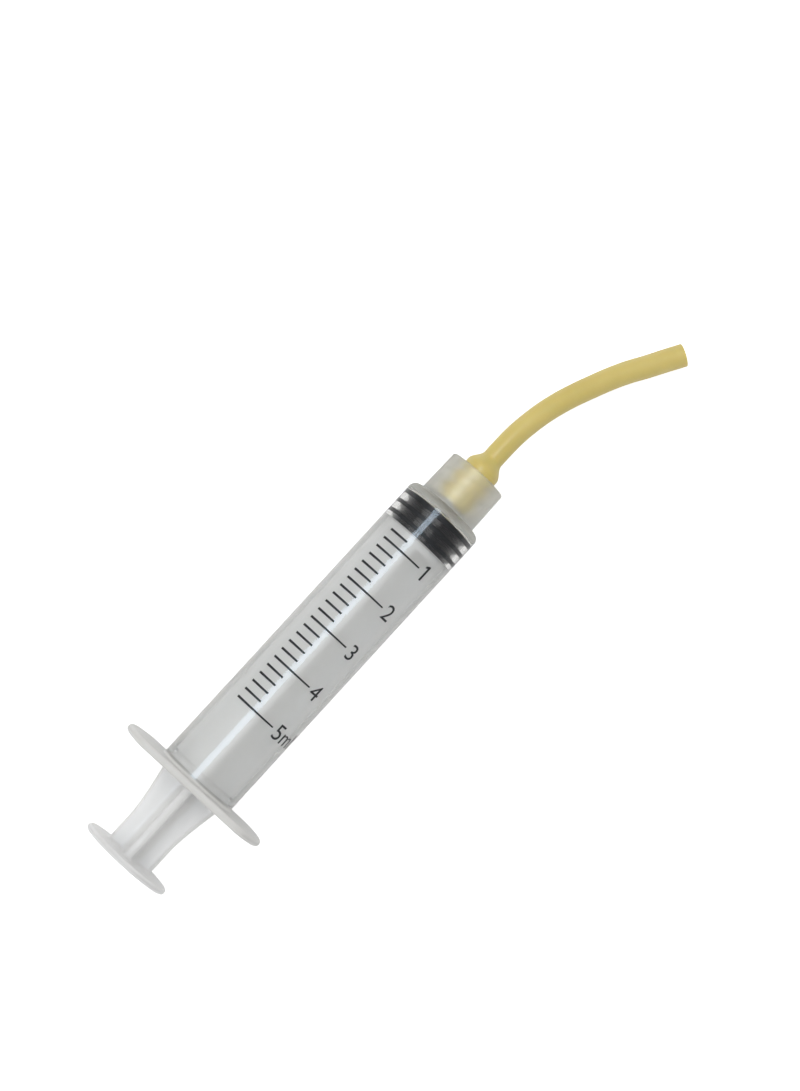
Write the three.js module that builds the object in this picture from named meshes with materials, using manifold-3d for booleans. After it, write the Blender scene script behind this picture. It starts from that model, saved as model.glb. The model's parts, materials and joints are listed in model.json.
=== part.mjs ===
// A 5 ml luer-lock oral syringe with a soft feeding tube pushed over its tip, lying at rest on a table.
//
// Every piece is drawn in the syringe's own frame, in millimetres: x runs along the axis towards the
// tip, with x = 0 at the barrel's front shoulder, and r is the distance from the axis. The syringe
// lies on the flat of its finger flange and on the front of its barrel, so its nose points a little
// down. The exported group turns the pieces to that attitude, with +Z up and the table at z = 0.
import * as THREE from "three";
import { mergeVertices } from "three/addons/utils/BufferGeometryUtils.js";
import Module from "manifold-3d";

const wasm = await Module();
wasm.setup();

// Barrel
const barrelRadius = 7.05;
const boreRadius = 6.125;
const shoulderRound = 1.3;
const floorAtBore = -1.45; // where the bore's shallow conical floor meets its wall
const floorAtChannel = -1.15;
const channelRadius = 1.1;
const beadFront = -56.9; // the bead that keeps the piston from being pulled out
const beadLength = 1.2;
const beadHeight = 0.18;

// Finger flange: a disc with two flats, on the barrel's open end
const flangeRear = -60.4;
const flangeThickness = 1.5;
const flangeRadius = 14.05;
const flangeHalfWidth = 9.0;
const flangeEdge = 0.35;

// Lock collar and luer tip
const collarRadius = 5.35;
const collarMouthRadius = 5.2;
const collarBore = 4.1;
const collarFloor = 0.7;
const collarMouth = 7.5;
const collarEdge = 0.35;
const luerRootRadius = 2.27;
const luerEndRadius = 2.0;
const luerEnd = 9.75;

// Piston
const pistonFront = -1.65;
const pistonRear = -7.0;
const ribRadius = 6.075;
const valleyRadius = 5.35;
const ribCentres = [-2.1, -3.95, -5.95];
const ribHalfLength = 0.42;
const ribSlope = 0.28;
const socketMouthRadius = 2.4;
const socketMouthEnd = -6.0;
const socketRadius = 3.3;
const socketEnd = -3.3;

// Plunger rod
const thumbRestRear = -75.95;
const thumbRestThickness = 1.1;
const thumbRestRadius = 8.13;
const stemHalfWidth = 4.375;
const rodHalfWidth = 5.85;
const ribThickness = 1.4;
const flareStart = -70;
const flareEnd = -60.3;
const flareBend = 2.7; // from the flare's start to its curve's control point
const frontDiscRear = -8.45;
const frontDiscFront = -7.25;
const neckRadius = 2.1;
const headRear = -5.75;
const headRadius = 3.0;
const headBarb = -4.75; // where the head starts to narrow to its nose
const headNose = -3.6;

// Feeding tube
const sleeveStart = 0.95;
const sleeveRadius = 3.05;
const sleeveShoulder = 9.25; // where the sleeve starts to narrow to the tube
const sleeveEdge = 0.35;
const tubeRadius = 1.85;
const tubeBore = 1.0;
const tubeNeck = 11.2;
const sleeveClearance = 0.1;
const tubeSides = 10;
const tubeSteps = 14;
// The free length bends sideways and droops until its open end rests on the table.
const tubeRoute = [
  [11.0, 0, 0],
  [13.6, 0, -0.04],
  [16.5, -0.12, -0.18],
  [19.4, -0.48, -0.42],
  [22.4, -1.06, -0.8],
  [25.3, -1.86, -1.22],
  [28.2, -2.88, -1.68],
  [31.0, -4.02, -2.12],
  [33.8, -5.22, -2.52],
  [36.6, -6.62, -2.88],
  [39.3, -8.22, -3.16],
  [42.2, -9.84, -3.38],
  [45.0, -11.46, -3.5],
];

const roundSides = 48;

// A polyline along an arc in the (x, r) plane, angles in degrees from the +x direction.
function arc(centreX, centreR, radius, fromDegrees, toDegrees, steps) {
  return Array.from({ length: steps + 1 }, (_, i) => {
    const angle = THREE.MathUtils.degToRad(fromDegrees + ((toDegrees - fromDegrees) * i) / steps);
    return [centreX + radius * Math.cos(angle), centreR + radius * Math.sin(angle)];
  });
}

// A solid of revolution about the x axis from an outline of [x, r] points.
function turned(outline) {
  const points = outline.map(([x, r]) => new THREE.Vector2(r, x));
  return new THREE.LatheGeometry(points, roundSides).rotateZ(-Math.PI / 2);
}

function closed(outline) {
  return [...outline, outline[0]];
}

function solidOf(geometry) {
  const bare = geometry.clone();
  bare.deleteAttribute("normal");
  bare.deleteAttribute("uv");
  const merged = mergeVertices(bare, 1e-4);
  return new wasm.Manifold(
    new wasm.Mesh({
      numProp: 3,
      vertProperties: merged.attributes.position.array,
      triVerts: new Uint32Array(merged.index.array),
    }),
  );
}

function joined(geometries) {
  return geometries.map(solidOf).reduce((whole, piece) => whole.add(piece));
}

function pieceFrom(name, solid, material) {
  const made = solid.getMesh();
  const geometry = new THREE.BufferGeometry();
  geometry.setAttribute("position", new THREE.BufferAttribute(made.vertProperties, 3));
  geometry.setIndex(new THREE.BufferAttribute(made.triVerts, 1));
  geometry.computeVertexNormals();
  const mesh = new THREE.Mesh(geometry, material);
  mesh.name = name;
  return mesh;
}

// The finger flange is extruded along the axis; its own hole is a little wider than the bore.
function flangeGeometry() {
  const radius = flangeRadius - flangeEdge;
  const flat = flangeHalfWidth - flangeEdge;
  const corner = Math.asin(flat / radius);
  const outline = new THREE.Shape();
  outline.absarc(0, 0, radius, -corner, corner, false);
  outline.absarc(0, 0, radius, Math.PI - corner, Math.PI + corner, false);
  outline.closePath();
  const hole = new THREE.Path();
  hole.absarc(0, 0, (boreRadius + barrelRadius) / 2, 0, 2 * Math.PI, true);
  outline.holes.push(hole);
  const plate = new THREE.ExtrudeGeometry(outline, {
    depth: flangeThickness - 2 * flangeEdge,
    bevelThickness: flangeEdge,
    bevelSize: flangeEdge,
    bevelSegments: 2,
    curveSegments: 20,
  });
  // The outline's x becomes the syringe's y, its y becomes z, and the depth runs along x.
  const toAxis = new THREE.Matrix4().makeBasis(
    new THREE.Vector3(0, 1, 0),
    new THREE.Vector3(0, 0, 1),
    new THREE.Vector3(1, 0, 0),
  );
  return plate.applyMatrix4(toAxis).translate(flangeRear + flangeEdge, 0, 0);
}

function barrel() {
  const mouthChamfer = 0.35;
  const collarFillet = 0.3;
  const luerRound = 0.2;
  const beadSlope = 0.4;
  const outline = [
    [flangeRear, boreRadius + mouthChamfer],
    [flangeRear, barrelRadius],
    ...arc(-shoulderRound, barrelRadius - shoulderRound, shoulderRound, 90, 0, 5),
    [0, collarRadius + collarFillet],
    [collarFillet, collarRadius],
    [collarMouth - collarEdge, collarMouthRadius],
    [collarMouth, collarMouthRadius - collarEdge],
    [collarMouth, collarBore + collarEdge],
    [collarMouth - collarEdge, collarBore],
    [collarFloor, collarBore],
    [collarFloor, luerRootRadius],
    [luerEnd - luerRound, luerEndRadius],
    [luerEnd, luerEndRadius - luerRound],
    [luerEnd, channelRadius],
    [floorAtChannel, channelRadius],
    [floorAtBore, boreRadius],
    [beadFront, boreRadius],
    [beadFront - beadSlope, boreRadius - beadHeight],
    [beadFront - beadLength + beadSlope, boreRadius - beadHeight],
    [beadFront - beadLength, boreRadius],
    [flangeRear + mouthChamfer, boreRadius],
  ];
  const body = turned(closed(outline));
  const polypropylene = new THREE.MeshStandardMaterial({ color: 0xd6d6d4, roughness: 0.3, metalness: 0 });
  return pieceFrom("barrel", joined([body, flangeGeometry()]), polypropylene);
}

function piston() {
  const noseRadius = 1.5;
  const noseHeight = 0.3;
  const faceRound = 0.2;
  const ribs = ribCentres.flatMap((centre) => [
    [centre + ribHalfLength + ribSlope, valleyRadius],
    [centre + ribHalfLength, ribRadius],
    [centre - ribHalfLength, ribRadius],
    [centre - ribHalfLength - ribSlope, valleyRadius],
  ]);
  ribs.shift(); // the first rib runs straight into the front face
  const outline = [
    [pistonFront + noseHeight, 0],
    [pistonFront + noseHeight, noseRadius],
    [pistonFront, valleyRadius + faceRound],
    ...ribs,
    [pistonRear, valleyRadius],
    [pistonRear, socketMouthRadius],
    [socketMouthEnd, socketMouthRadius],
    [socketMouthEnd, socketRadius],
    [socketEnd, socketRadius],
    [socketEnd, 0],
  ];
  const rubber = new THREE.MeshStandardMaterial({ color: 0x15181d, roughness: 0.5, metalness: 0 });
  return pieceFrom("piston", solidOf(turned(outline.reverse())), rubber);
}

// One of the rod's two crossed ribs: an outline in the plane of the axis, as thick as ribThickness.
function rodRib() {
  const start = thumbRestRear + thumbRestThickness / 2;
  const end = (frontDiscRear + frontDiscFront) / 2;
  const bend = flareStart + flareBend;
  const outline = new THREE.Shape();
  outline.moveTo(start, -stemHalfWidth);
  outline.lineTo(flareStart, -stemHalfWidth);
  outline.quadraticCurveTo(bend, -stemHalfWidth, flareEnd, -rodHalfWidth);
  outline.lineTo(end, -rodHalfWidth);
  outline.lineTo(end, rodHalfWidth);
  outline.lineTo(flareEnd, rodHalfWidth);
  outline.quadraticCurveTo(bend, stemHalfWidth, flareStart, stemHalfWidth);
  outline.lineTo(start, stemHalfWidth);
  outline.closePath();
  return new THREE.ExtrudeGeometry(outline, {
    depth: ribThickness,
    bevelEnabled: false,
    curveSegments: 6,
  }).translate(0, 0, -ribThickness / 2);
}

function plungerRod() {
  const rimRound = thumbRestThickness / 2;
  const rimCentre = thumbRestRear + rimRound;
  const thumbRest = turned([
    [thumbRestRear, 0],
    ...arc(rimCentre, thumbRestRadius - rimRound, rimRound, 180, 0, 6),
    [thumbRestRear + thumbRestThickness, 0],
  ]);
  const snapHead = turned([
    [frontDiscRear, 0],
    [frontDiscRear, rodHalfWidth],
    [frontDiscFront, rodHalfWidth],
    [frontDiscFront, neckRadius],
    [headRear, neckRadius],
    [headRear, headRadius],
    [headBarb, headRadius],
    [headNose, neckRadius],
    [headNose, 0],
  ]);
  const flatRib = rodRib();
  const uprightRib = rodRib().rotateX(Math.PI / 2);
  const rod = joined([thumbRest, flatRib, uprightRib, snapHead]);
  const polypropylene = new THREE.MeshStandardMaterial({ color: 0xdedfe1, roughness: 0.35, metalness: 0 });
  return pieceFrom("plunger_rod", rod, polypropylene);
}

// The free tube: a ring-shaped section along the route.
function freeTube() {
  const points = tubeRoute.map((point) => new THREE.Vector3(...point));
  const route = new THREE.CatmullRomCurve3(points, false, "centripetal");
  const section = new THREE.Shape();
  const bore = new THREE.Path();
  for (let i = 0; i <= tubeSides; i += 1) {
    const angle = (2 * Math.PI * i) / tubeSides;
    section[i ? "lineTo" : "moveTo"](tubeRadius * Math.cos(angle), tubeRadius * Math.sin(angle));
    bore[i ? "lineTo" : "moveTo"](tubeBore * Math.cos(angle), -tubeBore * Math.sin(angle));
  }
  section.holes.push(bore);
  return new THREE.ExtrudeGeometry(section, { steps: tubeSteps, extrudePath: route });
}

function feedingTube() {
  const innerStart = luerRootRadius + sleeveClearance;
  const innerEnd = luerEndRadius + sleeveClearance;
  const endGap = 0.3;
  const sleeve = turned(
    closed([
      [sleeveStart, innerStart],
      [sleeveStart, sleeveRadius],
      [sleeveShoulder, sleeveRadius],
      [sleeveShoulder + 2 * sleeveEdge, sleeveRadius - sleeveEdge],
      [tubeNeck, tubeRadius],
      [tubeNeck, tubeBore],
      [luerEnd + 2 * endGap, tubeBore],
      [luerEnd + endGap, innerEnd],
    ]),
  );
  const latex = new THREE.MeshStandardMaterial({ color: 0xc9b577, roughness: 0.55, metalness: 0 });
  return pieceFrom("feeding_tube", joined([sleeve, freeTube()]), latex);
}

// At rest the syringe touches the table with its flange's flat and with the barrel's front end.
const noseDown = Math.atan2(
  flangeHalfWidth - barrelRadius,
  -shoulderRound - (flangeRear + flangeThickness - flangeEdge),
);

const syringe = new THREE.Group();
syringe.rotation.y = noseDown;
syringe.add(barrel(), piston(), plungerRod(), feedingTube());

// The part's origin is under the middle of the rigid pieces, at table height.
const group = new THREE.Group();
group.add(syringe);
group.updateMatrixWorld(true);
const rigidBox = new THREE.Box3();
syringe.children
  .filter((piece) => piece.name !== "feeding_tube")
  .forEach((piece) => rigidBox.expandByObject(piece, true));
const middle = rigidBox.getCenter(new THREE.Vector3());
syringe.position.set(-middle.x, -middle.y, -rigidBox.min.z);

export default group;
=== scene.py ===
"""A 5 ml luer-lock oral syringe with an amber feeding tube, lying on a white table.

Every piece is drawn in the syringe's own frame, in millimetres: x runs along the axis towards the
tip, with x = 0 at the barrel's front shoulder, y points to the syringe's left and z away from the
table. An angle round the axis is 0 at the top and grows towards -y. The rod_spin joint lies on
that axis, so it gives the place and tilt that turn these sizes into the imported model's metres.
"""

import json
import math

import bmesh
import bpy
import numpy as np
from mathutils import Matrix, Vector


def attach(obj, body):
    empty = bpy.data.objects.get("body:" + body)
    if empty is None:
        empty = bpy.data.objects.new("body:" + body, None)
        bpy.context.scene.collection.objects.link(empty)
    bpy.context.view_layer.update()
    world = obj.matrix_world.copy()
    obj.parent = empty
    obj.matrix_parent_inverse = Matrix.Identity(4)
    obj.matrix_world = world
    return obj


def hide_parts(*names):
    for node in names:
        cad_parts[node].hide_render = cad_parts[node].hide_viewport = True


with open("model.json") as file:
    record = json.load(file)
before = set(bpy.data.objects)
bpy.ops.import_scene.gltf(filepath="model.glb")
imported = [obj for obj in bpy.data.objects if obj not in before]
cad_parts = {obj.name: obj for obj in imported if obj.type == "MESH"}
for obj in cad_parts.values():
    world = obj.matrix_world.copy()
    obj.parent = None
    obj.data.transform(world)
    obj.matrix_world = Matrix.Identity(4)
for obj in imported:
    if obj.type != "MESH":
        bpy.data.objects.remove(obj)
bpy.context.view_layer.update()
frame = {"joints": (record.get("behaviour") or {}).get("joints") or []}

# Barrel
BARREL_RADIUS = 7.05
BORE_RADIUS = 6.125
BORE_MOUTH_ROUND = 0.35
WALL_ROUND = 0.15  # the inner corners of the collar and the luer tip
SHOULDER_ROUND = 1.3
FLOOR_AT_BORE = -1.45
FLOOR_ROUND = 0.4
FLOOR_AT_CHANNEL = -1.15
CHANNEL_RADIUS = 1.1
BEAD_FRONT = -56.9
BEAD_LENGTH = 1.2
BEAD_HEIGHT = 0.12
BEAD_SLOPE = 0.45
BEAD_ROUND = 0.3

# Finger flange: a disc with two flats, which face up and down
FLANGE_REAR = -60.3
FLANGE_THICKNESS = 1.3
FLANGE_RADIUS = 14.05
FLANGE_HALF_WIDTH = 9.0
FLANGE_RIM = 0.6
FLANGE_FILLET = 0.5
FLANGE_CORNER_POWER = 24  # how tightly the disc's arc turns into the flats

# Lock collar, its thread, and the luer tip inside it
COLLAR_RADIUS = 5.35
COLLAR_MOUTH_RADIUS = 5.2
COLLAR_BORE = 4.1
COLLAR_FLOOR = 0.7
COLLAR_MOUTH = 7.5
COLLAR_EDGE = 0.35
COLLAR_FILLET = 0.3
THREAD_PITCH = 2.5
THREAD_STARTS = 2
THREAD_HEIGHT = 0.28
THREAD_WIDTH = 1.5
THREAD_RUN_OUT = 0.7
LUER_ROOT_RADIUS = 2.27
LUER_END_RADIUS = 2.0
LUER_END = 9.75
LUER_ROUND = 0.2

# Printed scale: a millilitre of bore is 1000 mm3
SCALE_ZERO = -1.9
MILLILITRE = 1000 / (math.pi * BORE_RADIUS**2)
TICKS_PER_MILLILITRE = 5
FIRST_TICK = 4
LAST_TICK = 25
TICK_START = -37.7
TICK_END = -8.0
LONG_TICK_END = 26.4
TICK_WIDTH_AT_START = 0.4
TICK_WIDTH_AT_END = 0.26
TICK_ARC_STEP = 3  # in degrees, as are the ticks' starts and ends
FIGURE_HEIGHT = 2.75
FIGURE_GAP = 0.5  # between a long tick's end and its figure's cell
FIGURE_ONE = [  # a 1 with a flag, in the font's units
    (0.2, 0),
    (0.3, 0),
    (0.3, 0.68),
    (0.22, 0.68),
    (0.09, 0.6),
    (0.09, 0.52),
    (0.2, 0.56),
]
FIGURE_BEND_STEP = 0.2  # a figure is cut this often, so that it bends round the barrel
INK_HEIGHT = 0.02

# Piston
PISTON_FRONT = -1.65
PISTON_REAR = -7.1
RIB_RADIUS = 6.14  # squeezed a little into the bore's wall, so no air is left between them
VALLEY_RADIUS = 5.55
RIB_CENTRES = (-4.15, -6.05)
FRONT_RIB_REAR = -2.6
RIB_HALF_LENGTH = 0.34
RIB_SLOPE = 0.42
PISTON_ROUND = 0.1
PISTON_FRONT_ROUND = 0.3
NOSE_RADIUS = 1.5
NOSE_HEIGHT = 0.3
SOCKET_MOUTH_RADIUS = 2.4
SOCKET_MOUTH_END = -6.0
SOCKET_RADIUS = 3.3
SOCKET_END = -3.3

# Plunger rod: two crossed ribs between the thumb rest and the front disc
THUMB_REST_REAR = -75.95
THUMB_REST_THICKNESS = 1.1
THUMB_REST_RADIUS = 8.13
THUMB_REST_RIM = 0.5
THUMB_REST_INNER = 5.6  # where the rest's front face meets the ribs' fillet
STEM_HALF_WIDTH = 4.375
ROD_HALF_WIDTH = 5.75
ROD_RIB_THICKNESS = 1.4
ROD_RIB_EDGE = 0.66
ROD_ROOT_FILLET = 1.3
ROD_END_FILLET = 0.6
ROD_ROUND = 0.25
FLARE_START = -70.0
FLARE_BEND = -67.3
FLARE_END = -60.3
FRONT_DISC_REAR = -8.45
FRONT_DISC_FRONT = -7.25
FRONT_DISC_RADIUS = 5.85
NECK_RADIUS = 2.1
HEAD_REAR = -5.75
HEAD_RADIUS = 3.0
HEAD_BARB = -4.75
HEAD_NOSE = -3.6

# Feeding tube: a sleeve stretched over the luer tip, then the free length
SLEEVE_START = 0.95
SLEEVE_RADIUS = 3.05
SLEEVE_LIP = 0.35
SLEEVE_SHOULDER = 8.5
SLEEVE_CLEARANCE = 0.1
SLEEVE_CLOSING = (0.2, 0.6)  # beyond the luer tip: where the tube's bore narrows, and over what length
TUBE_NECK = 11.0
TUBE_NECK_RADIUS = 1.8
TUBE_END_RADIUS = 1.93
TUBE_BORE = 1.0
TUBE_ROUTE = [
    (11.0, 0, 0),
    (13.6, 0, -0.04),
    (16.5, -0.12, -0.18),
    (19.4, -0.48, -0.42),
    (22.4, -1.06, -0.8),
    (25.3, -1.86, -1.22),
    (28.2, -2.88, -1.68),
    (31.0, -4.02, -2.12),
    (33.8, -5.22, -2.52),
    (36.6, -6.62, -2.88),
    (39.3, -8.22, -3.16),
    (42.2, -9.84, -3.38),
    (44.92, -11.42, -3.5),
]

# Camera, in metres: almost straight above, with the syringe's tip up and to the right
CAMERA_PLACE = (0.0137, -0.006, 0.408)
CAMERA_AIM = (0.0238, 0.0016, 0.007)
CAMERA_TURN = 42.5
CAMERA_LENS = 82.6

# The share of a lamp's light that goes straight through the barrel's plastic
LIGHT_THROUGH_MILKY = 0.45
LIGHT_THROUGH_CLEAR = 0.87

# Glow of the table and the sky, as strengths
TABLE_GLOW = 0.22
TABLE_GLOW_SEEN = 0.55  # added where the camera sees the table directly
SKY_GLOW = 1.0
SKY_GLOW_SEEN = 3.0  # added where the camera sees the sky directly
TABLE_HALF_WIDTH = 3.0  # in metres

# Mesh resolution
SIDES = 144
TUBE_SIDES = 64
SLEEVE_SPACING = 0.25  # the spacings are between one mesh ring and the next
BARREL_SPACING = 4
FACE_SPACING = 2
CHANNEL_SPACING = 1
DISC_SPACING = 1.5
THREAD_SPACING = 0.15
RINGS_PER_KNOT = 8
FLARE_RINGS = 11
SHANK_RINGS = 8
SHANK_MARGIN = 2  # between the shank's rings and the fillets at its ends
DISC_MARGIN = 0.1  # between the stem's fillet and the thumb rest's inner ring
NEAR_AXIS = 0.01  # the radius of a ring that a disc's middle point closes
SAME_RADIUS = 0.001
ARC_STEP = 15
SUPPORT = 0.08  # a ring this close to each rounding keeps the flat beside it shaded flat
SHARP_ANGLE = 35

MM = 0.001


# The syringe's frame


def syringe_frame():
    """The frame's origin in metres, and its x, y and z directions as columns."""
    spin = next(joint for joint in frame["joints"] if joint["name"] == "rod_spin")
    x = Vector(spin["axis"]).normalized()
    y = Vector((0, 1, 0))
    return np.array(spin["pos_m"]), np.array([x, y, x.cross(y)]).T


ORIGIN, DIRECTIONS = syringe_frame()


def placed(points):
    """Points of the syringe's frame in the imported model's frame, in metres."""
    return ORIGIN + MM * np.asarray(points, float) @ DIRECTIONS.T


# Camera and feeding tube


def add_camera():
    data = bpy.data.cameras.new("camera")
    data.lens = CAMERA_LENS
    data.clip_start = 0.01
    camera = bpy.data.objects.new("camera", data)
    bpy.context.scene.collection.objects.link(camera)
    place = Vector(CAMERA_PLACE)
    look = Vector(CAMERA_AIM) - place
    turn = math.radians(CAMERA_TURN)
    up = Vector((math.cos(turn), math.sin(turn), 0))
    right = look.cross(up).normalized()
    up = right.cross(look).normalized()
    camera.matrix_world = matrix_of(right, up, -look.normalized(), place)
    bpy.context.scene.camera = camera


def matrix_of(x, y, z, place):
    """A world matrix from its three axes and its place."""
    return Matrix([*zip(x, y, z, place), (0, 0, 0, 1)])


def smooth_step(value):
    """0 below 0, 1 above 1, and a smooth rise between."""
    t = np.clip(value, 0, 1)
    return t * t * (3 - 2 * t)


def tube_centreline():
    """Points of the sleeve's axis and then of the free length's curve."""
    straight = [(x, 0, 0) for x in np.arange(SLEEVE_START, TUBE_ROUTE[0][0], SLEEVE_SPACING)]
    knots = np.array(TUBE_ROUTE, float)
    gaps = np.linalg.norm(np.diff(knots, axis=0), axis=1)
    at = np.concatenate([[0], np.cumsum(gaps)])
    slopes = np.gradient(knots, at, axis=0)
    slopes[0] = (1, 0, 0)
    curve = []
    for i, gap in enumerate(gaps):
        for t in np.linspace(0, 1, RINGS_PER_KNOT, endpoint=False):
            curve.append(
                (1 + 2 * t) * (1 - t) ** 2 * knots[i]
                + t * (1 - t) ** 2 * gap * slopes[i]
                + t * t * (3 - 2 * t) * knots[i + 1]
                + t * t * (t - 1) * gap * slopes[i + 1]
            )
    return np.array([*straight, *curve, knots[-1]])


def tube_radii(along):
    """Outer and inner radius at each distance from the sleeve's start."""
    x = SLEEVE_START + along
    free_share = np.clip((x - TUBE_NECK) / (x[-1] - TUBE_NECK), 0, 1)
    free = TUBE_NECK_RADIUS + (TUBE_END_RADIUS - TUBE_NECK_RADIUS) * free_share
    narrowing = smooth_step((x - SLEEVE_SHOULDER) / (TUBE_NECK - SLEEVE_SHOULDER))
    lip = 1 - np.sqrt(np.clip(1 - ((SLEEVE_LIP - along) / SLEEVE_LIP) ** 2, 0, 1))
    lip = np.where(along < SLEEVE_LIP, lip * SLEEVE_LIP, 0)
    outer = SLEEVE_RADIUS - lip + (free - SLEEVE_RADIUS) * narrowing
    taper = (LUER_END_RADIUS - LUER_ROOT_RADIUS) / (LUER_END - COLLAR_FLOOR)
    stretched = LUER_ROOT_RADIUS + taper * (x - COLLAR_FLOOR) + SLEEVE_CLEARANCE
    closing_start, closing_length = SLEEVE_CLOSING
    closing = smooth_step((x - LUER_END - closing_start) / closing_length)
    inner = stretched + (TUBE_BORE - stretched) * closing
    return outer, inner


def sections_along(centres, radii, sides):
    """Rings of points round a curve that starts along x, with as little twist as possible."""
    tangents = np.gradient(centres, axis=0)
    tangents /= np.linalg.norm(tangents, axis=1)[:, None]
    up = np.array([0.0, 0.0, 1.0])
    angles = np.arange(sides) * 2 * math.pi / sides
    rings = []
    for centre, tangent, radius in zip(centres, tangents, radii):
        up = up - tangent * (up @ tangent)
        up /= np.linalg.norm(up)
        side = np.cross(up, tangent)
        spokes = np.outer(np.cos(angles), up) - np.outer(np.sin(angles), side)
        rings.append(centre + radius * spokes)
    return rings


def amber_tube():
    centres = tube_centreline()
    steps = np.linalg.norm(np.diff(centres, axis=0), axis=1)
    along = np.concatenate([[0], np.cumsum(steps)])
    outer, inner = tube_radii(along)
    rings = sections_along(centres, outer, TUBE_SIDES)
    rings += sections_along(centres, inner, TUBE_SIDES)[::-1]
    tube = looped_piece("amber_tube", rings, latex())
    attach(tube, "feeding_tube")
    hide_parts("feeding_tube")


# Outlines and meshes


def rounded(corners, closed):
    """Points of an outline in the (x, r) plane. A corner is (x, r, rounding) or (x, r, rounding, step):
    the rounding is its arc's radius, and the step is the spacing of points up to the next corner."""
    count = len(corners)
    pieces = []
    for i, (x, r, rounding, *_) in enumerate(corners):
        corner = np.array([x, r], float)
        at_end = not closed and i in (0, count - 1)
        if rounding == 0 or at_end:
            pieces.append([corner])
            continue
        back = np.array(corners[i - 1][:2]) - corner
        ahead = np.array(corners[(i + 1) % count][:2]) - corner
        back /= np.linalg.norm(back)
        ahead /= np.linalg.norm(ahead)
        pieces.append(corner_arc(corner, back, ahead, rounding))
    points = []
    for i, piece in enumerate(pieces):
        points.extend(piece)
        if closed or i < count - 1:
            step = corners[i][3] if len(corners[i]) > 3 else math.inf
            points.extend(filled(piece[-1], pieces[(i + 1) % count][0], step))
    return np.array(points)


def corner_arc(corner, back, ahead, rounding):
    """The arc that rounds a corner, with one support point beyond each of its ends."""
    opening = math.acos(np.clip(back @ ahead, -1, 1))
    reach = rounding / math.tan(opening / 2)
    middle = (back + ahead) / np.linalg.norm(back + ahead)
    centre = corner + middle * rounding / math.sin(opening / 2)
    turn = math.pi - opening
    steps = max(2, math.ceil(math.degrees(turn) / ARC_STEP))
    support = min(SUPPORT, rounding / 2)
    spoke = corner + back * reach - centre
    sign = 1 if back[1] * ahead[0] - back[0] * ahead[1] > 0 else -1
    arc = [corner + back * (reach + support)]
    for i in range(steps + 1):
        angle = sign * turn * i / steps
        cos, sin = math.cos(angle), math.sin(angle)
        arc.append(centre + (cos * spoke[0] - sin * spoke[1], sin * spoke[0] + cos * spoke[1]))
    arc.append(corner + ahead * (reach + support))
    return arc


def filled(start, end, step):
    """Evenly spaced points strictly between two points, no further apart than the step."""
    count = max(1, math.ceil(np.linalg.norm(end - start) / step))
    return [start + (end - start) * i / count for i in range(1, count)]


def turned(outline, sides=SIDES):
    """Rings of points round the x axis, one for each (x, r) point of an outline."""
    angles = np.arange(sides) * 2 * math.pi / sides
    spokes = np.stack([np.zeros(sides), -np.sin(angles), np.cos(angles)], axis=1)
    return [np.array([x, 0, 0]) + r * spokes for x, r in outline]


def bands(first, second, sides):
    """The quads between two rings whose first vertices have these numbers."""
    return [
        (first + i, first + (i + 1) % sides, second + (i + 1) % sides, second + i)
        for i in range(sides)
    ]


def looped_piece(name, rings, *materials):
    """A piece whose rings join one to the next, and the last to the first."""
    sides = len(rings[0])
    faces = []
    for i in range(len(rings)):
        faces += bands(i * sides, (i + 1) % len(rings) * sides, sides)
    return piece_of(name, np.concatenate(rings), faces, materials)


def capped_piece(name, start, rings, end, *materials):
    """A piece whose rings join one to the next, closed by a point at each end."""
    sides = len(rings[0])
    last = (len(rings) - 1) * sides
    start_number = len(rings) * sides
    faces = [(start_number, (i + 1) % sides, i) for i in range(sides)]
    for i in range(len(rings) - 1):
        faces += bands(i * sides, (i + 1) * sides, sides)
    faces += [(start_number + 1, last + i, last + (i + 1) % sides) for i in range(sides)]
    return piece_of(name, np.concatenate([*rings, [start, end]]), faces, materials)


def piece_of(name, points, faces, materials):
    """A smooth-shaded object with outward faces and sharp edges kept sharp."""
    mesh = bpy.data.meshes.new(name)
    mesh.from_pydata(placed(points).tolist(), [], faces)
    shape = bmesh.new()
    shape.from_mesh(mesh)
    if shape.calc_volume(signed=True) < 0:
        bmesh.ops.reverse_faces(shape, faces=shape.faces)
    for face in shape.faces:
        face.smooth = True
    for edge in shape.edges:
        edge.smooth = edge.calc_face_angle(0) < math.radians(SHARP_ANGLE)
    shape.to_mesh(mesh)
    shape.free()
    for material in materials:
        mesh.materials.append(material)
    piece = bpy.data.objects.new(name, mesh)
    bpy.context.scene.collection.objects.link(piece)
    return piece


# Barrel


def flange_reach():
    """The flange's radius at each angle: its arc, and its two flats where they are nearer."""
    angles = np.arange(SIDES) * 2 * math.pi / SIDES
    arc = np.full(SIDES, FLANGE_RADIUS)
    upright = np.maximum(np.abs(np.cos(angles)), 0.05)  # kept off 0, where no flat is met
    flats = FLANGE_HALF_WIDTH / upright
    power = FLANGE_CORNER_POWER
    return (arc**-power + flats**-power) ** (-1 / power)


def shape_flange(rings, outline):
    """Moves the flange's rings out from a circle to its real outline."""
    inner = BARREL_RADIUS + FLANGE_FILLET + SUPPORT
    rim = FLANGE_RADIUS - FLANGE_RIM - SUPPORT
    reach = flange_reach()
    for ring, (_, r) in zip(rings, outline):
        if r >= rim:
            wanted = reach - (FLANGE_RADIUS - r)
        elif r > inner:
            share = (r - inner) / (rim - inner)
            wanted = inner + (reach - FLANGE_RIM - SUPPORT - inner) * share
        else:
            continue
        ring[:, 1:] *= (wanted / r)[:, None]


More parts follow.
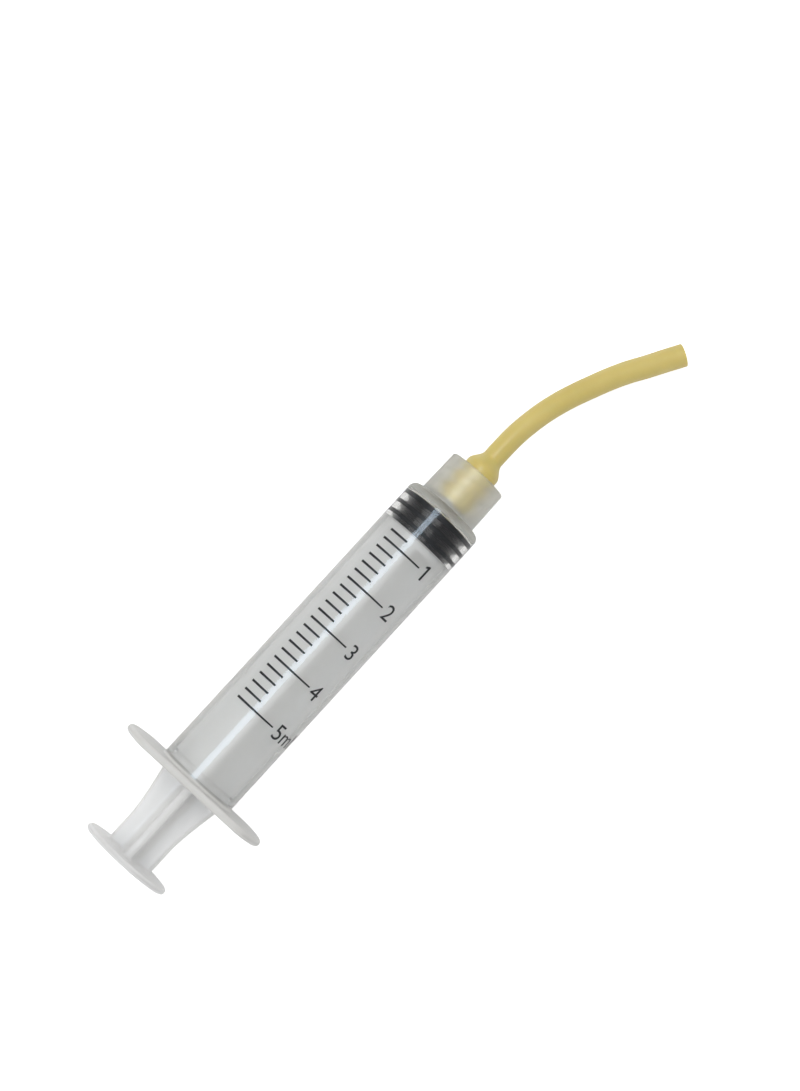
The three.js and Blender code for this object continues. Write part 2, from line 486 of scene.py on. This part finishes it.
def cut_thread(rings, outline):
    """Raises the collar's right-handed thread on the rings of its bore."""
    angles = np.arange(SIDES) * 2 * math.pi / SIDES
    for ring, (x, r) in zip(rings, outline):
        if abs(r - COLLAR_BORE) > SAME_RADIUS:
            continue
        turns = x / THREAD_PITCH - THREAD_STARTS * angles / (2 * math.pi)
        from_crest = np.abs(turns - np.round(turns)) * THREAD_PITCH
        crest = smooth_step(1.5 - from_crest / (THREAD_WIDTH / 2))
        into = min(x - COLLAR_FLOOR, COLLAR_MOUTH - COLLAR_EDGE - x)
        run_out = smooth_step(into / THREAD_RUN_OUT)
        ring[:, 1:] *= (1 - THREAD_HEIGHT / r * crest * run_out)[:, None]


def barrel_outline():
    """The barrel's section, round from the rear of its mouth to the retention bead."""
    flange_front = FLANGE_REAR + FLANGE_THICKNESS
    bead_radius = BORE_RADIUS - BEAD_HEIGHT
    return rounded([
        (FLANGE_REAR, BORE_RADIUS, BORE_MOUTH_ROUND, FACE_SPACING),
        (FLANGE_REAR, FLANGE_RADIUS, FLANGE_RIM),
        (flange_front, FLANGE_RADIUS, FLANGE_RIM, FACE_SPACING),
        (flange_front, BARREL_RADIUS, FLANGE_FILLET, BARREL_SPACING),
        (0, BARREL_RADIUS, SHOULDER_ROUND),
        (0, COLLAR_RADIUS, COLLAR_FILLET, FACE_SPACING),
        (COLLAR_MOUTH, COLLAR_MOUTH_RADIUS, COLLAR_EDGE),
        (COLLAR_MOUTH, COLLAR_BORE, COLLAR_EDGE, THREAD_SPACING),
        (COLLAR_FLOOR, COLLAR_BORE, WALL_ROUND),
        (COLLAR_FLOOR, LUER_ROOT_RADIUS, WALL_ROUND, FACE_SPACING),
        (LUER_END, LUER_END_RADIUS, LUER_ROUND),
        (LUER_END, CHANNEL_RADIUS, WALL_ROUND, FACE_SPACING),
        (FLOOR_AT_CHANNEL, CHANNEL_RADIUS, WALL_ROUND, CHANNEL_SPACING),
        (FLOOR_AT_BORE, BORE_RADIUS, FLOOR_ROUND, BARREL_SPACING),
        (PISTON_REAR, BORE_RADIUS, 0, BARREL_SPACING),
        (BEAD_FRONT, BORE_RADIUS, BEAD_ROUND),
        (BEAD_FRONT - BEAD_SLOPE, bead_radius, BEAD_ROUND),
        (BEAD_FRONT - BEAD_LENGTH + BEAD_SLOPE, bead_radius, BEAD_ROUND),
        (BEAD_FRONT - BEAD_LENGTH, BORE_RADIUS, BEAD_ROUND, FACE_SPACING),
    ], closed=True)


def barrel_materials():
    """The barrel's plastic in five finishes, numbered as mark_places numbers them."""
    return [
        polypropylene("clear_wall", transmission=1.0, tint=(0.93, 0.925, 0.91), roughness=(0.1, 0.14)),
        polypropylene("frosted_bore", transmission=0.7, tint=(0.9, 0.895, 0.88), roughness=(0.6, 0.7)),
        polypropylene("oiled_bore", transmission=1.0, tint=(0.66, 0.66, 0.66), roughness=(0.06, 0.1)),
        polypropylene("cloudy_collar", transmission=0.9, tint=(0.85, 0.84, 0.78), roughness=(0.36, 0.42)),
        polypropylene("milky_flange", transmission=0.0, tint=(0.75, 0.745, 0.725), roughness=(0.34, 0.38)),
    ]


def barrel():
    outline = barrel_outline()
    rings = turned(outline)
    shape_flange(rings, outline)
    cut_thread(rings, outline)
    piece = looped_piece("clear_barrel", rings, *barrel_materials())
    mark_places(piece, outline)
    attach(piece, "barrel")
    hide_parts("barrel")


def mark_places(piece, outline):
    """Gives each face the finish for its place: the plastic looks milkier where it is thicker, the
    bore is frosted, and the piston's oil clears the stretch of bore around it."""
    wall, bore, oiled, collar, flange = range(5)
    flange_end = FLANGE_REAR + FLANGE_THICKNESS + FLANGE_FILLET
    for face in piece.data.polygons:
        points = [outline[number // SIDES] for number in face.vertices]
        x = sum(point[0] for point in points) / len(points)
        r = sum(point[1] for point in points) / len(points)
        if x < flange_end:
            face.material_index = flange
        elif x > FLOOR_AT_BORE:
            face.material_index = collar
        elif r < BORE_RADIUS + SAME_RADIUS:
            face.material_index = oiled if x > PISTON_REAR else bore
        else:
            face.material_index = wall


# Printed scale


def wrapped(points):
    """Points (x, angle in degrees, height above the barrel) on the barrel's round surface."""
    x, angle, height = np.asarray(points, float).T
    turn = np.radians(angle)
    radius = BARREL_RADIUS + height
    return np.stack([x, -radius * np.sin(turn), radius * np.cos(turn)], axis=1)


def tick_strip(x, end):
    """The corners and faces of one printed line across the barrel, a thin closed strip."""
    count = max(2, math.ceil((end - TICK_START) / TICK_ARC_STEP))
    points = []
    for i in range(count + 1):
        share = i / count
        angle = TICK_START + (end - TICK_START) * share
        across = (angle - TICK_START) / (LONG_TICK_END - TICK_START)
        half = (TICK_WIDTH_AT_START + (TICK_WIDTH_AT_END - TICK_WIDTH_AT_START) * across) / 2
        points += [(x - half, angle, 0), (x + half, angle, 0)]
        points += [(x + half, angle, INK_HEIGHT), (x - half, angle, INK_HEIGHT)]
    faces = []
    for i in range(count):
        faces += bands(4 * i, 4 * (i + 1), 4)
    faces += [(3, 2, 1, 0), tuple(4 * count + k for k in range(4))]
    return points, faces


def scale_ticks(ink):
    points, faces = [], []
    for tick in range(FIRST_TICK, LAST_TICK + 1):
        is_long = tick % TICKS_PER_MILLILITRE == 0
        x = SCALE_ZERO - MILLILITRE * tick / TICKS_PER_MILLILITRE
        strip, strip_faces = tick_strip(x, LONG_TICK_END if is_long else TICK_END)
        faces += [tuple(len(points) + k for k in face) for face in strip_faces]
        points += strip
    piece = piece_of("scale_ticks", wrapped(points), faces, [ink])
    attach(piece, "barrel")


def flat_one():
    """The filled outline of the figure 1 as a flat bmesh; the font's own 1 is a bare bar."""
    shape = bmesh.new()
    shape.faces.new([shape.verts.new((x, y, 0)) for x, y in FIGURE_ONE])
    return shape


def flat_text(text):
    """The filled outline of a short text as a flat bmesh."""
    curve = bpy.data.curves.new("figure", "FONT")
    curve.body = text
    curve.resolution_u = 6
    holder = bpy.data.objects.new("figure", curve)
    mesh = bpy.data.meshes.new_from_object(holder)
    shape = bmesh.new()
    shape.from_mesh(mesh)
    bpy.data.objects.remove(holder)
    bpy.data.curves.remove(curve)
    bpy.data.meshes.remove(mesh)
    return shape


def printed_figure(text, tick_x):
    """A figure beside the end of its long tick, reading towards -y, as a thin piece."""
    shape = flat_one() if text == "1" else flat_text(text)
    bmesh.ops.remove_doubles(shape, verts=shape.verts, dist=1e-5)
    ys = [vertex.co.y for vertex in shape.verts]
    scale = FIGURE_HEIGHT / (max(ys) - min(ys))
    for vertex in shape.verts:
        vertex.co.x *= scale
        vertex.co.y = (vertex.co.y - (max(ys) + min(ys)) / 2) * scale
    widest = max(vertex.co.x for vertex in shape.verts)
    for cut in np.arange(FIGURE_BEND_STEP, widest, FIGURE_BEND_STEP):
        bmesh.ops.bisect_plane(shape, geom=[*shape.verts, *shape.edges, *shape.faces],
                               plane_co=(cut, 0, 0), plane_no=(1, 0, 0))
    thickness = bmesh.ops.extrude_face_region(shape, geom=shape.faces[:])
    for element in thickness["geom"]:
        if isinstance(element, bmesh.types.BMVert):
            element.co.z = INK_HEIGHT
    shape.verts.index_update()
    start = LONG_TICK_END + math.degrees(FIGURE_GAP / BARREL_RADIUS)
    points = [
        (tick_x + v.co.y, start + math.degrees(v.co.x / BARREL_RADIUS), v.co.z) for v in shape.verts
    ]
    faces = [tuple(v.index for v in face.verts) for face in shape.faces]
    shape.free()
    return points, faces


def scale_figures(ink):
    points, faces = [], []
    for millilitres in range(1, LAST_TICK // TICKS_PER_MILLILITRE + 1):
        is_last = millilitres == LAST_TICK // TICKS_PER_MILLILITRE
        text = f"{millilitres}ml" if is_last else str(millilitres)
        x = SCALE_ZERO - MILLILITRE * millilitres
        figure, figure_faces = printed_figure(text, x)
        faces += [tuple(len(points) + k for k in face) for face in figure_faces]
        points += figure
    piece = piece_of("scale_figures", wrapped(points), faces, [ink])
    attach(piece, "barrel")


# Piston


def rib_corners():
    """Corners of the piston's side: the front rib's rear, then the two ribs behind it."""
    front_valley = FRONT_RIB_REAR - RIB_SLOPE
    corners = [(FRONT_RIB_REAR, RIB_RADIUS, PISTON_ROUND), (front_valley, VALLEY_RADIUS, PISTON_ROUND)]
    for centre in RIB_CENTRES:
        corners += [
            (centre + RIB_HALF_LENGTH + RIB_SLOPE, VALLEY_RADIUS, PISTON_ROUND),
            (centre + RIB_HALF_LENGTH, RIB_RADIUS, PISTON_ROUND),
            (centre - RIB_HALF_LENGTH, RIB_RADIUS, PISTON_ROUND),
            (centre - RIB_HALF_LENGTH - RIB_SLOPE, VALLEY_RADIUS, PISTON_ROUND),
        ]
    return corners


def piston():
    nose = PISTON_FRONT + NOSE_HEIGHT
    outline = rounded([
        (nose, 0, 0),
        (nose, NOSE_RADIUS, PISTON_ROUND),
        (PISTON_FRONT, RIB_RADIUS, PISTON_FRONT_ROUND),
        *rib_corners(),
        (PISTON_REAR, VALLEY_RADIUS, PISTON_ROUND),
        (PISTON_REAR, SOCKET_MOUTH_RADIUS, PISTON_ROUND),
        (SOCKET_MOUTH_END, SOCKET_MOUTH_RADIUS, PISTON_ROUND),
        (SOCKET_MOUTH_END, SOCKET_RADIUS, PISTON_ROUND),
        (SOCKET_END, SOCKET_RADIUS, PISTON_ROUND),
        (SOCKET_END, 0, 0),
    ], closed=False)
    rings = turned(outline[1:-1])
    piece = capped_piece("black_piston", (nose, 0, 0), rings, (SOCKET_END, 0, 0), black_rubber())
    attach(piece, "piston")
    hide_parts("piston")


# Plunger rod


def cross_section(half_width, grow=0.0):
    """Points (y, z) round the crossed ribs, with rounded edges and filleted roots: half of one
    quadrant is drawn, mirrored and then turned three times."""
    half = ROD_RIB_THICKNESS / 2 + grow
    reach = half_width + grow
    edge = ROD_RIB_EDGE
    root = half + ROD_ROOT_FILLET
    tip = [(reach, 0), (reach, (half - edge) / 2)]
    for angle in np.radians((0, 22.5, 45, 67.5, 90)):
        tip.append((reach - edge + edge * math.cos(angle), half - edge + edge * math.sin(angle)))
    side_end = reach - edge
    side = [(side_end + (root - side_end) * share, half) for share in (0.03, 0.25, 0.5, 0.75, 0.9)]
    fillet = []
    for angle in np.radians((270, 255, 240, 225)):
        along = ROD_ROOT_FILLET * math.cos(angle)
        across = ROD_ROOT_FILLET * math.sin(angle)
        fillet.append((root + along, root + across))
    lower = tip + side + fillet
    upper = [(z, y) for y, z in lower[-2:0:-1]]
    quadrant = np.array(lower + upper)
    quarter_turn = np.array([[0, 1], [-1, 0]])
    turns = [np.linalg.matrix_power(quarter_turn, k) for k in range(4)]
    return np.concatenate([quadrant @ turn for turn in turns])


def rod_ring(x, section, limit=math.inf):
    """One ring of the rod's skin, kept within a radius."""
    radius = np.linalg.norm(section, axis=1)
    kept = section * np.minimum(1, limit / radius)[:, None]
    return np.column_stack([np.full(len(kept), x), kept])


def round_section(radius):
    """A circle with as many points as the crossed ribs' section, starting at the same place."""
    sides = len(cross_section(STEM_HALF_WIDTH))
    angles = np.arange(sides) * 2 * math.pi / sides
    return radius * np.column_stack([np.cos(angles), np.sin(angles)])


def round_rings(corners):
    """Rings of the rod's round parts, from an outline of (x, r, rounding) corners."""
    return [rod_ring(x, round_section(r)) for x, r in rounded(corners, closed=False)]


def end_fillet(face, direction, half_width, limit):
    """Rings where the crossed ribs run into a disc's face; the direction points away from it."""
    rings = []
    for angle in np.radians((0, 15, 30, 50, 70, 90)):
        grow = ROD_END_FILLET * (1 - math.sin(angle))
        x = face + direction * ROD_END_FILLET * (1 - math.cos(angle))
        rings.append(rod_ring(x, cross_section(half_width, grow), limit))
    return rings


def flare_rings():
    """Rings of the ribs as they widen from the stem to the bore's width."""
    rings = []
    for t in np.linspace(0, 1, FLARE_RINGS):
        x = (1 - t) ** 2 * FLARE_START + 2 * t * (1 - t) * FLARE_BEND + t * t * FLARE_END
        half_width = STEM_HALF_WIDTH + (ROD_HALF_WIDTH - STEM_HALF_WIDTH) * t * t
        rings.append(rod_ring(x, cross_section(half_width)))
    return rings


def shank_rings(disc_limit):
    """Rings of the ribs inside the barrel, up to their fillet on the front disc."""
    end = FRONT_DISC_REAR - ROD_END_FILLET - SHANK_MARGIN
    places = np.linspace(FLARE_END + SHANK_MARGIN, end, SHANK_RINGS)
    rings = [rod_ring(x, cross_section(ROD_HALF_WIDTH)) for x in places]
    return rings + end_fillet(FRONT_DISC_REAR, -1, ROD_HALF_WIDTH, disc_limit)[::-1]


def plunger_rod():
    rest_front = THUMB_REST_REAR + THUMB_REST_THICKNESS
    thumb_rest = round_rings([
        (THUMB_REST_REAR, NEAR_AXIS, 0, DISC_SPACING),
        (THUMB_REST_REAR, THUMB_REST_RADIUS, THUMB_REST_RIM),
        (rest_front, THUMB_REST_RADIUS, THUMB_REST_RIM, DISC_SPACING),
        (rest_front, THUMB_REST_INNER, 0),
    ])
    stem = end_fillet(rest_front, 1, STEM_HALF_WIDTH, THUMB_REST_INNER - DISC_MARGIN)
    disc_limit = FRONT_DISC_RADIUS - ROD_ROUND - SUPPORT
    snap_head = round_rings([
        (FRONT_DISC_REAR, disc_limit, 0),
        (FRONT_DISC_REAR, FRONT_DISC_RADIUS, ROD_ROUND),
        (FRONT_DISC_FRONT, FRONT_DISC_RADIUS, ROD_ROUND, DISC_SPACING),
        (FRONT_DISC_FRONT, NECK_RADIUS, ROD_ROUND),
        (HEAD_REAR, NECK_RADIUS, ROD_ROUND),
        (HEAD_REAR, HEAD_RADIUS, ROD_ROUND),
        (HEAD_BARB, HEAD_RADIUS, ROD_ROUND),
        (HEAD_NOSE, NECK_RADIUS, ROD_ROUND),
        (HEAD_NOSE, NEAR_AXIS, 0),
    ])
    rings = [*thumb_rest, *stem, *flare_rings(), *shank_rings(disc_limit), *snap_head[1:]]
    start = (THUMB_REST_REAR, 0, 0)
    end = (HEAD_NOSE, 0, 0)
    piece = capped_piece("white_rod", start, rings, end, rod_plastic())
    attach(piece, "plunger_rod")
    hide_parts("plunger_rod")


# Materials


def new_material(name, **settings):
    """A material with one Principled shader; settings are its sockets' names and values."""
    material = bpy.data.materials.new(name)
    material.use_nodes = True
    shader = material.node_tree.nodes["Principled BSDF"]
    for socket, value in settings.items():
        shader.inputs[socket.replace("_", " ")].default_value = value
    return material, shader


def noise(material, scale, detail=3.0):
    """A noise texture in the piece's own coordinates; the scale is in features per metre."""
    nodes, links = material.node_tree.nodes, material.node_tree.links
    coordinates = nodes.new("ShaderNodeTexCoord")
    texture = nodes.new("ShaderNodeTexNoise")
    texture.inputs["Scale"].default_value = scale
    texture.inputs["Detail"].default_value = detail
    links.new(coordinates.outputs["Object"], texture.inputs["Vector"])
    return texture.outputs["Fac"]


def ramp(material, source, low, high, start=0.3, end=0.7):
    """Maps a texture's values from start to end onto two RGBA colours or two grey levels."""
    node = material.node_tree.nodes.new("ShaderNodeValToRGB")
    stops = node.color_ramp.elements
    stops[0].position, stops[1].position = start, end
    stops[0].color = low if hasattr(low, "__len__") else (low, low, low, 1)
    stops[1].color = high if hasattr(high, "__len__") else (high, high, high, 1)
    material.node_tree.links.new(source, node.inputs["Fac"])
    return node.outputs["Color"]


def bump(material, shader, source, depth):
    """Adds surface relief from a texture, as deep as this in metres."""
    node = material.node_tree.nodes.new("ShaderNodeBump")
    node.inputs["Distance"].default_value = depth
    material.node_tree.links.new(source, node.inputs["Height"])
    material.node_tree.links.new(node.outputs["Normal"], shader.inputs["Normal"])


def pass_lamps(material, shader, share):
    """Lets this share of the light straight through the plastic, as thin clear walls do, so that
    what is inside the barrel isn't in its shadow."""
    nodes, links = material.node_tree.nodes, material.node_tree.links
    path = nodes.new("ShaderNodeLightPath")
    clear = nodes.new("ShaderNodeBsdfTransparent")
    clear.inputs["Color"].default_value = (share, share, share, 1)
    mix = nodes.new("ShaderNodeMixShader")
    links.new(path.outputs["Is Shadow Ray"], mix.inputs[0])
    links.new(shader.outputs["BSDF"], mix.inputs[1])
    links.new(clear.outputs["BSDF"], mix.inputs[2])
    links.new(mix.outputs["Shader"], nodes["Material Output"].inputs["Surface"])


def polypropylene(name, transmission, tint, roughness):
    """The barrel's natural polypropylene, from clear to milky by how much of the light it transmits;
    the roughness wanders between two values."""
    material, shader = new_material(
        name, Base_Color=(*tint, 1), IOR=1.49, Transmission_Weight=transmission)
    links = material.node_tree.links
    links.new(ramp(material, noise(material, 220), *roughness), shader.inputs["Roughness"])
    gain = LIGHT_THROUGH_CLEAR - LIGHT_THROUGH_MILKY
    pass_lamps(material, shader, LIGHT_THROUGH_MILKY + gain * transmission)
    return material


def rod_plastic():
    """The rod's whitish polypropylene, which lets a little light into its edges."""
    material, shader = new_material(
        "whitish_polypropylene", Subsurface_Weight=1.0, Subsurface_Scale=0.004, IOR=1.49)
    shader.inputs["Subsurface Radius"].default_value = (1.0, 1.0, 1.0)
    links = material.node_tree.links
    tint = ramp(material, noise(material, 60), (0.745, 0.745, 0.742, 1), (0.77, 0.77, 0.767, 1))
    links.new(tint, shader.inputs["Base Color"])
    links.new(ramp(material, noise(material, 300), 0.28, 0.4), shader.inputs["Roughness"])
    bump(material, shader, noise(material, 500), 0.00003)
    return material


def black_rubber():
    """The piston's black rubber, with its thin film of silicone oil."""
    material, shader = new_material("black_rubber", IOR=1.5, Specular_IOR_Level=0.2)
    links = material.node_tree.links
    tint = ramp(material, noise(material, 300), (0.006, 0.007, 0.009, 1), (0.012, 0.014, 0.018, 1))
    links.new(tint, shader.inputs["Base Color"])
    links.new(ramp(material, noise(material, 400), 0.4, 0.48), shader.inputs["Roughness"])
    bump(material, shader, noise(material, 1500), 0.000003)
    return material


def latex():
    """The tube's amber latex: soft, satin and slightly cloudy."""
    material, shader = new_material(
        "amber_latex", Subsurface_Weight=0.35, Subsurface_Scale=0.001, IOR=1.5)
    shader.inputs["Subsurface Radius"].default_value = (1.0, 0.7, 0.3)
    links = material.node_tree.links
    tint = ramp(material, noise(material, 120), (0.68, 0.555, 0.175, 1), (0.74, 0.605, 0.21, 1))
    links.new(tint, shader.inputs["Base Color"])
    links.new(ramp(material, noise(material, 500), 0.3, 0.38), shader.inputs["Roughness"])
    bump(material, shader, noise(material, 700), 0.00004)
    return material


def black_ink():
    """The scale's printing ink, a little uneven."""
    material, shader = new_material("black_ink", Roughness=0.45)
    tint = ramp(material, noise(material, 2500), (0.008, 0.008, 0.009, 1), (0.03, 0.03, 0.033, 1))
    material.node_tree.links.new(tint, shader.inputs["Base Color"])
    return material


def white_table():
    """The table's even white, with a glow that keeps the shadow on it faint. The camera sees it
    brighter than the pieces do, so its white doesn't flood them with light."""
    material, shader = new_material("white_table", Roughness=0.9, Specular_IOR_Level=0.0)
    nodes, links = material.node_tree.nodes, material.node_tree.links
    links.new(ramp(material, noise(material, 8), 0.74, 0.76), shader.inputs["Base Color"])
    path = nodes.new("ShaderNodeLightPath")
    glow = nodes.new("ShaderNodeMath")
    glow.operation = "MULTIPLY_ADD"
    glow.inputs[1].default_value = TABLE_GLOW_SEEN
    glow.inputs[2].default_value = TABLE_GLOW
    links.new(path.outputs["Is Camera Ray"], glow.inputs[0])
    links.new(glow.outputs["Value"], shader.inputs["Emission Strength"])
    shader.inputs["Emission Color"].default_value = (1, 1, 1, 1)
    return material


# Table and light


def add_table():
    half = TABLE_HALF_WIDTH
    mesh = bpy.data.meshes.new("table")
    corners = [(-half, -half, 0), (half, -half, 0), (half, half, 0), (-half, half, 0)]
    mesh.from_pydata(corners, [], [(0, 1, 2, 3)])
    mesh.materials.append(white_table())
    table = bpy.data.objects.new("table", mesh)
    bpy.context.scene.collection.objects.link(table)


def add_softbox(name, tilt, distance, size, radiance, colour, for_highlights):
    """A rectangular lamp over the syringe, aimed at it; the tilt is from upright towards +y.
    The size is its length along the syringe and its width, and the radiance is its brightness.
    A lamp makes either the highlights on the pieces or the soft light on them."""
    lamp = bpy.data.lights.new(name, "AREA")
    lamp.shape = "RECTANGLE"
    lamp.size, lamp.size_y = size
    lamp.energy = radiance * math.pi * size[0] * size[1]
    lamp.color = colour
    holder = bpy.data.objects.new(name, lamp)
    bpy.context.scene.collection.objects.link(holder)
    angle = math.radians(tilt)
    toward = Vector((0, math.sin(angle), math.cos(angle)))
    x = Vector((1, 0, 0))
    place = Vector(CAMERA_AIM) + toward * distance
    holder.matrix_world = matrix_of(x, toward.cross(x), toward, place)
    holder.visible_camera = False
    holder.visible_glossy = for_highlights
    holder.visible_diffuse = not for_highlights
    holder.visible_transmission = not for_highlights


def add_sky():
    """Even studio light, brighter near the horizon than overhead, and white to the camera."""
    world = bpy.data.worlds.new("studio")
    bpy.context.scene.world = world
    world.use_nodes = True
    nodes, links = world.node_tree.nodes, world.node_tree.links
    coordinates = nodes.new("ShaderNodeTexCoord")
    split = nodes.new("ShaderNodeSeparateXYZ")
    height = nodes.new("ShaderNodeValToRGB")
    stops = height.color_ramp.elements
    stops[0].position, stops[1].position = 0.0, 0.8
    stops[0].color = (0.5, 0.5, 0.5, 1)
    stops[1].color = (0.3, 0.3, 0.3, 1)
    links.new(coordinates.outputs["Generated"], split.inputs["Vector"])
    links.new(split.outputs["Z"], height.inputs["Fac"])
    links.new(height.outputs["Color"], nodes["Background"].inputs["Color"])
    path = nodes.new("ShaderNodeLightPath")
    strength = nodes.new("ShaderNodeMath")
    strength.operation = "MULTIPLY_ADD"
    strength.inputs[1].default_value = SKY_GLOW_SEEN
    strength.inputs[2].default_value = SKY_GLOW
    links.new(path.outputs["Is Camera Ray"], strength.inputs[0])
    links.new(strength.outputs["Value"], nodes["Background"].inputs["Strength"])


add_camera()
amber_tube()
barrel()
ink = black_ink()
scale_ticks(ink)
scale_figures(ink)
piston()
plunger_rod()
add_table()
add_softbox("strip", tilt=13.5, distance=0.7, size=(0.36, 0.19), radiance=6.8,
            colour=(0.82, 1.0, 1.18), for_highlights=True)
add_softbox("panel", tilt=15, distance=0.9, size=(1.3, 1.1), radiance=1.55,
            colour=(1.0, 1.0, 0.99), for_highlights=False)
add_sky()
bpy.context.scene.view_settings.view_transform = "Standard"
